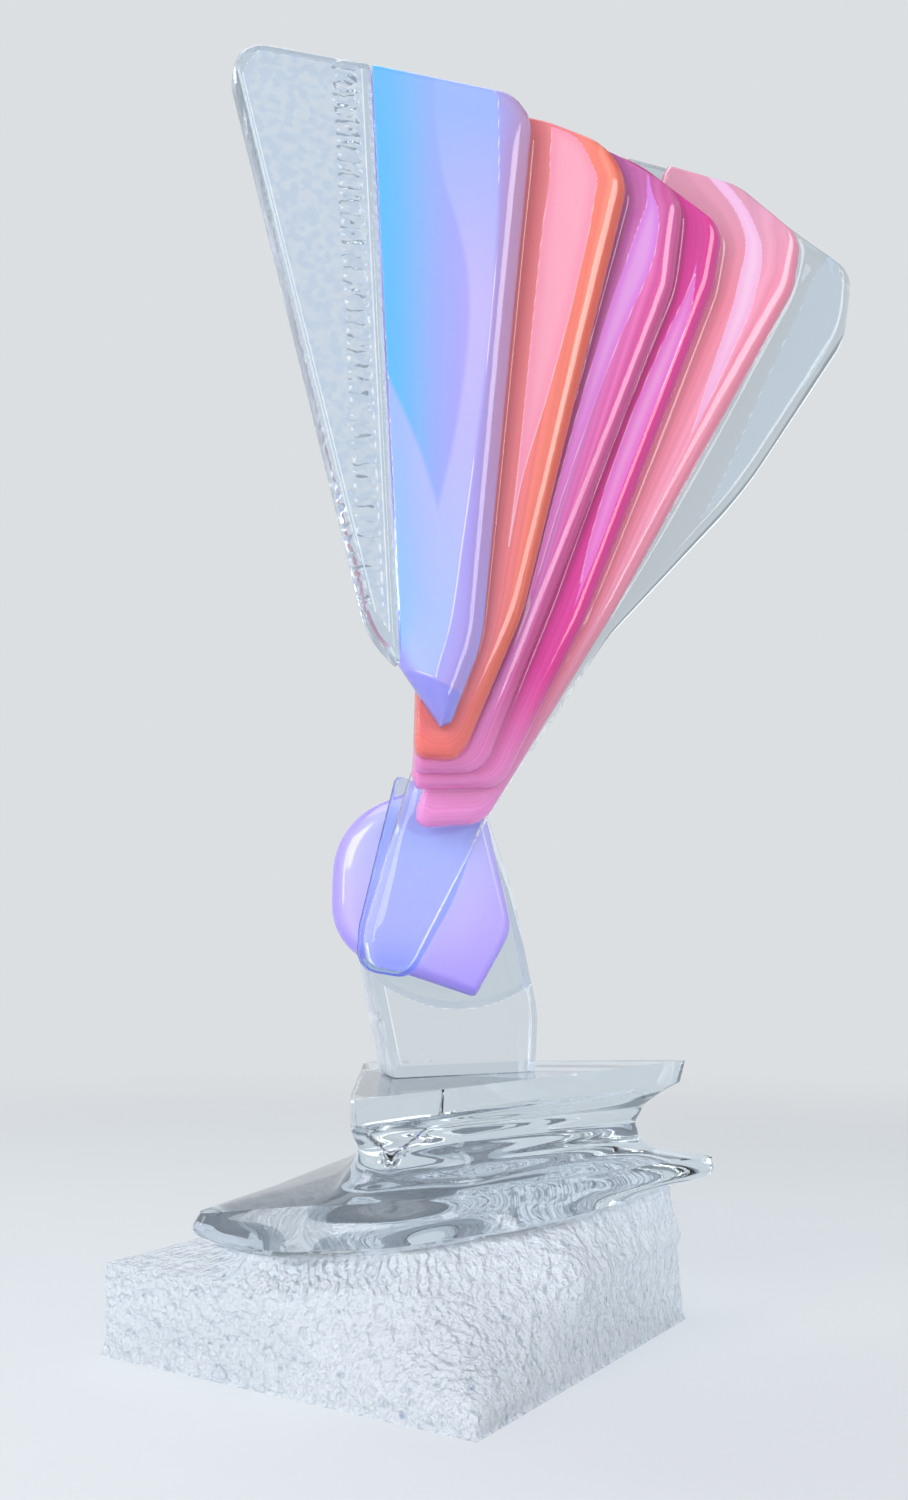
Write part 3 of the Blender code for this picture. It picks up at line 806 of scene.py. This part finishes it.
post = {
    **clearSheet,
    "corners": [(0.012, 0.123), (0.035, 0.123), (0.0585, 0.0016), (-0.0105, -0.0003)],
    "mesh": (90, 110), "steps": 4, "bevel": 0.0018, "bevelWidth": 0.005,
    # the scoop's depth and its ledge: lowest height, its x, and how strongly the ledge curves
    "scoop": 0.0019, "ledge": (0.03, 0.02, 9.0), "ledgeRise": 0.0035, "scoopFade": 0.03,
    # face below the ledge painted lighter, margin above it greyer: painted light and shade
    "face": "#FCFEFF", "margin": "#E0E9F0", "rim": "#EAF1F7",
    "line": 0.6, "clear": 1.0, "rimVeil": 0.55,
}
dress(
    sheet("clearPost", "clear_post", post, carvePost),
    clearAcrylic("clear acrylic, post", post),
)
print("disc and post made")

# the carved block

block = {
    "half": 0.134, "height": 0.114,
    "rays": 300, "levels": 11, "arcSteps": 12,  # fineness round it, between sections, at corners
    # (height share, rise per metre of X, bow, crisp, corners (x, y, radius) as shares of half)
    "sections": (
        (0.0, 0.0, 0.0, True, (
            (-1.0, 0.0, 0.007), (0.0, -1.0, 0.007), (1.0, 0.0, 0.007), (0.0, 1.0, 0.007),
        )),
        (0.08, 0.0, 0.0, False, (
            (-0.989, 0.0, 0.015), (0.0, -0.963, 0.045), (0.993, 0.0, 0.015), (0.0, 0.993, 0.015),
        )),
        (0.21, 0.04, 0.0, False, (
            (-0.998, 0.0, 0.01), (-0.448, -0.522, 0.149), (0.0, -0.731, 0.187),
            (0.448, -0.537, 0.112), (0.989, 0.0, 0.022), (0.0, 0.978, 0.03),
        )),
        (0.33, 0.0, 0.0, True, (
            (-1.003, 0.0, 0.01), (-0.515, -0.463, 0.149), (0.0, -0.597, 0.299),
            (0.448, -0.537, 0.09), (1.0, 0.0, 0.022), (0.0, 0.948, 0.075),
        )),
        (0.39, 0.01, 0.0, False, (
            (-0.687, 0.075, 0.112), (-0.56, -0.373, 0.149), (0.0, -0.567, 0.299),
            (0.418, -0.507, 0.112), (0.992, 0.015, 0.03), (0.0, 0.806, 0.149),
            (-0.522, 0.41, 0.149),
        )),
        (0.46, 0.06, 0.0, True, (
            (-0.672, -0.149, 0.075), (-0.463, -0.448, 0.149), (-0.149, -0.537, 0.224),
            (0.261, -0.463, 0.224), (0.522, -0.343, 0.149), (0.978, 0.032, 0.03),
            (0.0, 0.66, 0.149), (-0.44, 0.22, 0.149),
        )),
        (0.55, 0.045, 0.25, False, (
            (-0.748, -0.305, 0.04), (-0.075, -0.57, 0.299), (0.6, -0.3, 0.299),
            (1.157, 0.065, 0.03), (0.485, 0.43, 0.224), (-0.075, 0.59, 0.149), (-0.47, 0.03, 0.149),
        )),
        (0.62, 0.045, 0.25, True, (
            (-0.742, -0.32, 0.04), (0.0, -0.52, 0.373), (0.6, -0.25, 0.299), (1.165, 0.065, 0.022),
            (0.485, 0.4, 0.224), (-0.075, 0.55, 0.149), (-0.45, 0.0, 0.149),
        )),
        (0.665, 0.03, 0.1, False, (
            (-0.3, -0.44, 0.09), (0.112, -0.46, 0.224), (0.955, 0.054, 0.06), (0.448, 0.38, 0.224),
            (-0.06, 0.5, 0.112), (-0.2, 0.05, 0.224),
        )),
        (0.77, 0.0, 0.0, False, (
            (-0.25, -0.478, 0.075), (0.112, -0.418, 0.224), (0.885, 0.05, 0.045),
            (0.41, 0.35, 0.224), (-0.052, 0.5, 0.09), (-0.16, 0.05, 0.224),
        )),
        (0.86, 0.0, 0.0, False, (
            (-0.284, -0.582, 0.045), (0.149, -0.381, 0.299), (0.925, 0.052, 0.037),
            (0.41, 0.358, 0.224), (-0.052, 0.597, 0.06), (-0.194, 0.075, 0.224),
        )),
        (0.91, 0.028, 0.0, True, (
            (-0.299, -0.679, 0.022), (1.043, 0.059, 0.022), (-0.052, 0.649, 0.03),
        )),
        (1.0, 0.028, 0.0, True, (
            (-0.306, -0.701, 0.015), (1.058, 0.06, 0.015), (-0.052, 0.672, 0.022),
        )),
    ),
    "border": (4.7, 5.2),  # section numbers between which the chips give way to the polish
    "waist": (7.4, 11.0), "ridges": 5, "ridge": 0.0008,  # section numbers, count and depth
    # depth of the chips: cells about 14 mm wide with ridges between them, and finer ones on top
    "chip": 0.0022, "cells": ((70, 0.6), (190, 0.35)),
    # one larger chip is knocked out of the bottom edge
    "notch": 0.004, "notchPlace": (-0.088, -0.046, 0.001), "notchReach": 0.008,
}


def roundedPlan(corners, steps):
    # a closed run of points that turns each corner on an arc of its radius
    count = len(corners)
    points = np.array([corner[:2] for corner in corners])
    run = []
    for i, corner in enumerate(corners):
        here = points[i]
        back, ahead = points[i - 1] - here, points[(i + 1) % count] - here
        shorter = min(math.hypot(*back), math.hypot(*ahead))
        back, ahead = back / math.hypot(*back), ahead / math.hypot(*ahead)
        half = math.acos(max(-1.0, min(1.0, float(back @ ahead)))) / 2
        tangent = min(corner[2] / math.tan(half), 0.48 * shorter)
        inward = (back + ahead) / math.hypot(*(back + ahead))
        centre = here + inward * tangent * math.tan(half) / math.sin(half)
        start, end = here + back * tangent - centre, here + ahead * tangent - centre
        sweep = math.pi - 2 * half
        for step in range(steps + 1):
            part = sweep * step / steps
            run.append(centre + (start * math.sin(sweep - part) + end * math.sin(part)) / math.sin(sweep))
    return np.array(run)


def planReach(run, angles):
    # how far the run lies from the block's axis in each direction
    side = np.roll(run, -1, axis=0) - run
    direction = np.stack((np.cos(angles), np.sin(angles)), axis=1)[:, None, :]
    turn = direction[..., 0] * side[:, 1] - direction[..., 1] * side[:, 0]
    turn = np.where(np.abs(turn) < 1e-15, 1e-15, turn)
    far = (run[:, 0] * side[:, 1] - run[:, 1] * side[:, 0]) / turn
    share = (run[:, 0] * direction[..., 1] - run[:, 1] * direction[..., 0]) / turn
    return np.where((share >= -1e-9) & (share <= 1 + 1e-9), far, 0).max(1)


def blockAngles():
    # even directions, with each crisp corner's direction among them
    rays = block["rays"]
    angles = np.linspace(0, 2 * math.pi, rays, endpoint=False)
    for _height, _rise, _bow, crisp, corners in block["sections"]:
        for x, y, _radius in corners if crisp else ():
            corner = math.atan2(y, x) % (2 * math.pi)
            nearest = int(np.argmin(np.abs((angles - corner + math.pi) % (2 * math.pi) - math.pi)))
            angles[nearest] = corner
    return np.sort(angles)


def makeBlock():
    angles = blockAngles()
    half, height, levels = block["half"], block["height"], block["levels"]
    waistStart, waistEnd = block["waist"]
    knots = []
    for share, rise, bow, _crisp, corners in block["sections"]:
        far = planReach(roundedPlan(np.array(corners) * half, block["arcSteps"]), angles)
        x, y = far * np.cos(angles), far * np.sin(angles)
        knots.append(np.stack((x, y, share * height + rise * x - bow * x**2), axis=1))
    crisp = [section[3] for section in block["sections"]]
    rows, spots = [], []
    for i in range(len(knots) - 1):
        start, end = knots[i], knots[i + 1]
        leave = end - start if crisp[i] else (end - knots[i - 1]) / 2
        arrive = end - start if crisp[i + 1] else (knots[i + 2] - start) / 2
        for level in range(levels):
            t = level / levels
            row = bend(t, start, leave, end, arrive)
            # the tool left level ridges round the waist
            inWaist = (i + t - waistStart) / (waistEnd - waistStart)
            if 0 < inWaist < 1:
                ridge = block["ridge"] * math.sin(math.pi * block["ridges"] * inWaist) ** 2
                row[:, :2] *= 1 - ridge / np.hypot(row[:, 0], row[:, 1])[:, None]
            rows.append(row)
            spots.append(i + t)
    rows.append(knots[-1])
    spots.append(len(knots) - 1.0)

    shape = bmesh.new()
    frost = shape.verts.layers.float.new("frost")
    columns, count = len(angles), len(rows) - 1
    bmesh.ops.create_grid(shape, x_segments=columns, y_segments=count, size=0.5)
    for vert in shape.verts:
        i, j = round((vert.co.x + 0.5) * columns) % columns, round((vert.co.y + 0.5) * count)
        vert.co = rows[j][i]
        vert[frost] = float(1 - smoothStep(spots[j], *block["border"]))
    bmesh.ops.remove_doubles(shape, verts=shape.verts, dist=1e-7)
    notchPlace = Vector(block["notchPlace"])
    for vert in shape.verts:
        rough = vert[frost]
        if rough <= 0 or vert.co.z < 1e-6:
            continue
        scooped = sum(
            share * (1 - min(noise.voronoi(vert.co * cells)[0][0], 1))
            for cells, share in block["cells"]
        )
        cut = rough * block["chip"] * scooped
        cut += block["notch"] * max(0, 1 - (vert.co - notchPlace).length / block["notchReach"])
        reach = math.hypot(vert.co.x, vert.co.y)
        vert.co.x -= vert.co.x / reach * cut
        vert.co.y -= vert.co.y / reach * cut
    closeShape(shape)
    return addPiece(shape, "carvedBlock", "base_block", crispAngle=40)


def carvedAcrylic():
    # clear acrylic block: flame-polished above, chipped and frosted white-blue below
    made, tree, shader = newMaterial("clear acrylic block, polished and chipped")
    frost = addNode(tree, "Attribute", out="Fac", attribute_name="frost")
    place = addNode(tree, "TexCoord", out="Object")
    # chips about 6 mm and 2 mm wide: white where they are bruised and whitest on their ridges, a painted
    # highlight, blue-grey in their pits, painted shade
    grit = addNode(tree, "TexVoronoi", {"Vector": place, "Scale": 170.0, "Detail": 2.0})
    fine = addNode(tree, "TexNoise", {"Vector": place, "Scale": 420.0, "Detail": 4.0})
    relief = addNode(tree, "Math", [grit, fine], operation="ADD")
    chipped = addNode(tree, "ValToRGB", [relief], [(0.5, "#98B2CC"), (0.78, "#BACEE6"), (1.0, "#F0F7FF")])
    tint = addNode(tree, "Mix", {0: frost, 6: "#E6F0F6", 7: chipped}, **colourMix)
    # a grinder's rings about 4 mm apart near the front corner
    fromSwirl = addNode(tree, "Mapping", {"Vector": place, "Location": (-0.002, 0.098, -0.026)})
    rings = addNode(tree, "TexWave", {
        "Vector": fromSwirl, "Scale": 85.0, "Distortion": 5.0, "Detail": 2.0, "Detail Scale": 2.0,
    }, out="Fac", wave_type="RINGS", rings_direction="SPHERICAL")
    away = addNode(tree, "VectorMath", [fromSwirl], out="Value", operation="LENGTH")
    nearSwirl = addNode(tree, "MapRange", [away, 0.006, 0.036, 0.3, 0.0], **soft)
    relief = addNode(tree, "Math", [rings, nearSwirl, relief], operation="MULTIPLY_ADD")
    # upright ribs about 4 mm apart under the lip at the left
    ribs = addNode(tree, "TexWave", {
        "Vector": place, "Scale": 80.0, "Distortion": 6.0, "Detail": 2.0, "Detail Scale": 2.0,
    }, out="Fac", bands_direction="X")
    alongX = addNode(tree, "SeparateXYZ", [place], out="X")
    height = addNode(tree, "SeparateXYZ", [place], out="Z")
    for mask in (
        addNode(tree, "MapRange", [height, 0.033, 0.038, 0.0, 0.5], **soft),
        addNode(tree, "MapRange", [height, 0.046, 0.052, 1.0, 0.0], **soft),
        addNode(tree, "MapRange", [alongX, -0.09, -0.06], **soft),
        addNode(tree, "MapRange", [alongX, -0.01, 0.02, 1.0, 0.0], **soft),
    ):
        ribs = addNode(tree, "Math", [ribs, mask], operation="MULTIPLY")
    relief = addNode(tree, "Math", [relief, ribs], operation="ADD")
    relief = addNode(tree, "Math", [relief, frost], operation="MULTIPLY")
    bump = addNode(tree, "Bump", {"Height": relief, "Strength": 1.0, "Distance": 0.0022})
    rough = addNode(tree, "MapRange", [frost, 0.0, 1.0, 0.02, 0.25])
    clear = addNode(tree, "MapRange", [frost, 0.0, 1.0, 1.0, 0.4])
    setInputs(tree, shader, {
        "Base Color": tint, "Normal": bump, "Roughness": rough, "IOR": refraction,
        "Transmission Weight": clear,
    })
    lightThrough(tree, shader)
    return made


dress(makeBlock(), carvedAcrylic())
print("block made")

# stage: a pale floor, soft lamps and the photograph's camera

stage = {
    "backdrop": "#DCDFE2", "ceiling": "#8A9298",
    "floor": "#D3D6D9", "floorRadius": 4.0, "floorFade": (0.45, 1.5),
    # (name, place, size, power); each lamp looks at the middle of the fan
    "aim": (0.03, -0.05, 0.33),
    "lamps": (
        ("front softbox", (-1.55, -1.85, 1.3), (1.5, 1.5), 33.0),
        ("strip light", (2.15, -1.9, 1.2), (0.6, 1.9), 15.0),
        ("top softbox", (-0.3, 0.2, 2.3), (1.6, 1.6), 14.0),
        ("side softbox", (-2.0, -0.9, 1.0), (0.5, 1.6), 12.0),
    ),
    # the photograph's viewing angle, in degrees up and to the right
    "eye": (-0.1133, -0.6078, 0.167), "up": 9.13, "right": 12.5, "lens": 31.2, "sensor": 36.0,
}


def makeFloor():
    # the board runs out into the backdrop's own tone, so no horizon line shows
    shape = bmesh.new()
    bmesh.ops.create_circle(shape, cap_ends=True, segments=96, radius=stage["floorRadius"])
    floor = addObject(shape, "floor")
    made, tree, shader = newMaterial("matt pale board")
    place = addNode(tree, "TexCoord", out="Object")
    grain = addNode(tree, "TexNoise", {"Vector": place, "Scale": 6.0, "Detail": 2.0})
    tone = addNode(tree, "MapRange", [grain, 0.0, 1.0, 0.99, 1.01])
    toned = addNode(tree, "HueSaturation", {"Value": tone, "Color": stage["floor"]})
    setInputs(tree, shader, {"Base Color": toned, "Roughness": 0.9, "Specular IOR Level": 0.1})
    distance = addNode(tree, "VectorMath", [place], out="Value", operation="LENGTH")
    far = addNode(tree, "MapRange", [distance, *stage["floorFade"]], **soft)
    backdrop = addNode(tree, "Emission", [stage["backdrop"]])
    both = addNode(tree, "MixShader", [far, shader.outputs["BSDF"], backdrop])
    tree.links.new(both, tree.nodes["Material Output"].inputs["Surface"])
    floor.data.materials.append(made)


def addLamp(name, place, size, power):
    data = bpy.data.lights.new(name, "AREA")
    data.shape = "RECTANGLE"
    data.size, data.size_y = size
    data.energy = power
    lamp = bpy.data.objects.new(name, data)
    lamp.location = place
    lamp.rotation_euler = (Vector(stage["aim"]) - Vector(place)).to_track_quat("-Z", "Y").to_euler()
    bpy.context.scene.collection.objects.link(lamp)


def makeWorld():
    # a pale room with a darker ceiling band, which gives the clear pieces their edges
    world = bpy.data.worlds.new("pale room")
    world.use_nodes = True
    bpy.context.scene.world = world
    tree = world.node_tree
    direction = addNode(tree, "TexCoord", out="Generated")
    height = addNode(tree, "SeparateXYZ", [direction], out="Z")
    wall, ceiling = stage["backdrop"], stage["ceiling"]
    room = addNode(tree, "ValToRGB", [height], [
        (0.0, wall), (0.63, wall), (0.7, ceiling), (0.84, ceiling), (0.92, "#FFFFFF"),
    ])
    tree.links.new(room, tree.nodes["Background"].inputs["Color"])


def makeCamera():
    data = bpy.data.cameras.new("camera")
    data.sensor_fit = "VERTICAL"
    data.sensor_height = stage["sensor"]
    data.lens = stage["lens"]
    camera = bpy.data.objects.new("camera", data)
    camera.location = stage["eye"]
    camera.rotation_euler = (math.radians(90 + stage["up"]), 0.0, math.radians(-stage["right"]))
    bpy.context.scene.collection.objects.link(camera)
    bpy.context.scene.camera = camera


makeFloor()
for lamp in stage["lamps"]:
    addLamp(*lamp)
makeWorld()
makeCamera()
bpy.context.scene.view_settings.view_transform = "Standard"
print("stage made")

bpy.context.view_layer.update()
